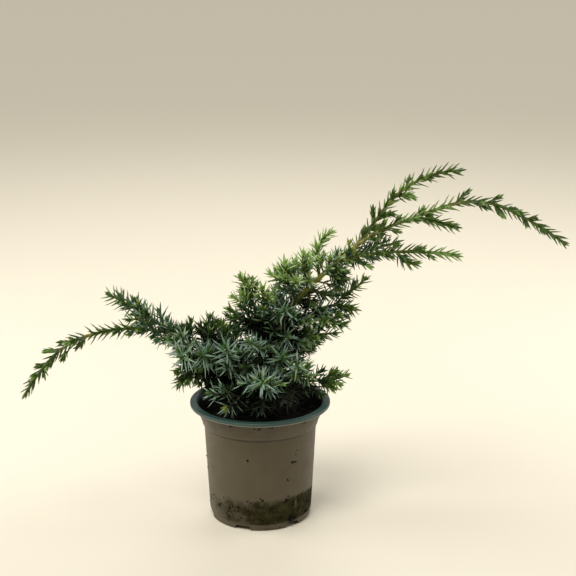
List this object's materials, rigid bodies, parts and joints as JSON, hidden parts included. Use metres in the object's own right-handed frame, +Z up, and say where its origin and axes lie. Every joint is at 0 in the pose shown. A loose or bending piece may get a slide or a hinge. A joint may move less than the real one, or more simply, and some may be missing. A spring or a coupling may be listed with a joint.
{
  "type": "potted conifer",
  "caption": "Young needle-leaved evergreen shrub with a leaning trunk and long arching arms, growing in a round plastic nursery pot of compost.",
  "frame": {"origin": "centre of the pot's flat underside, on the surface it stands on", "axes": "+Z up, +X towards the long arms on the right, +Y away from the picture's camera"},
  "size_m": [0.3964, 0.1287, 0.2689],
  "materials": {
    "pot": "matte taupe moulded plastic, a little dirty",
    "compost": "dark crumbly moist compost",
    "bark": "olive brown young bark",
    "foliage": "blue-green to fresh green needles"
  },
  "bodies": {
    "root": {"pot": "pot", "soil": "compost", "trunk": "bark", "bough_left": "bark", "bough_front": "bark", "bough_front_left": "bark", "bough_right": "bark", "bough_back": "bark", "bough_back_left": "bark", "bough_rise": "bark", "bough_mid": "bark", "right_top": "foliage", "right_arch": "foliage", "right_arch_tip": "foliage", "right_lower": "foliage", "right_inner": "foliage", "top_shoot": "foliage", "top_shoot_left": "foliage", "crest_left": "foliage", "crest_back": "foliage", "collar_up": "foliage", "collar_down": "foliage", "right_spray_high": "foliage", "right_spray_mid": "foliage", "right_spray_low": "foliage", "right_spray_foot": "foliage", "rise_tip": "foliage", "rise_side": "foliage", "rise_left": "foliage", "star_high": "foliage", "star_mid": "foliage", "star_centre": "foliage", "star_right": "foliage", "star_trunk": "foliage", "star_low": "foliage", "right_low": "foliage", "sprig_right": "foliage", "star_left_high": "foliage", "star_left_mid": "foliage", "star_left": "foliage", "left_up": "foliage", "left_low": "foliage", "left_top": "foliage", "left_back": "foliage", "left_fork": "foliage", "left_arch": "foliage", "left_arch_tip": "foliage", "sprig_left": "foliage", "sprig_front_left": "foliage", "sprig_front": "foliage", "back_high": "foliage", "back_left_high": "foliage", "back_left_low": "foliage", "back_low": "foliage", "back_right": "foliage", "back_rise": "foliage", "back_crown": "foliage", "back_right_high": "foliage", "back_right_low": "foliage", "left_back_far": "foliage"}
  },
  "joints": []
}
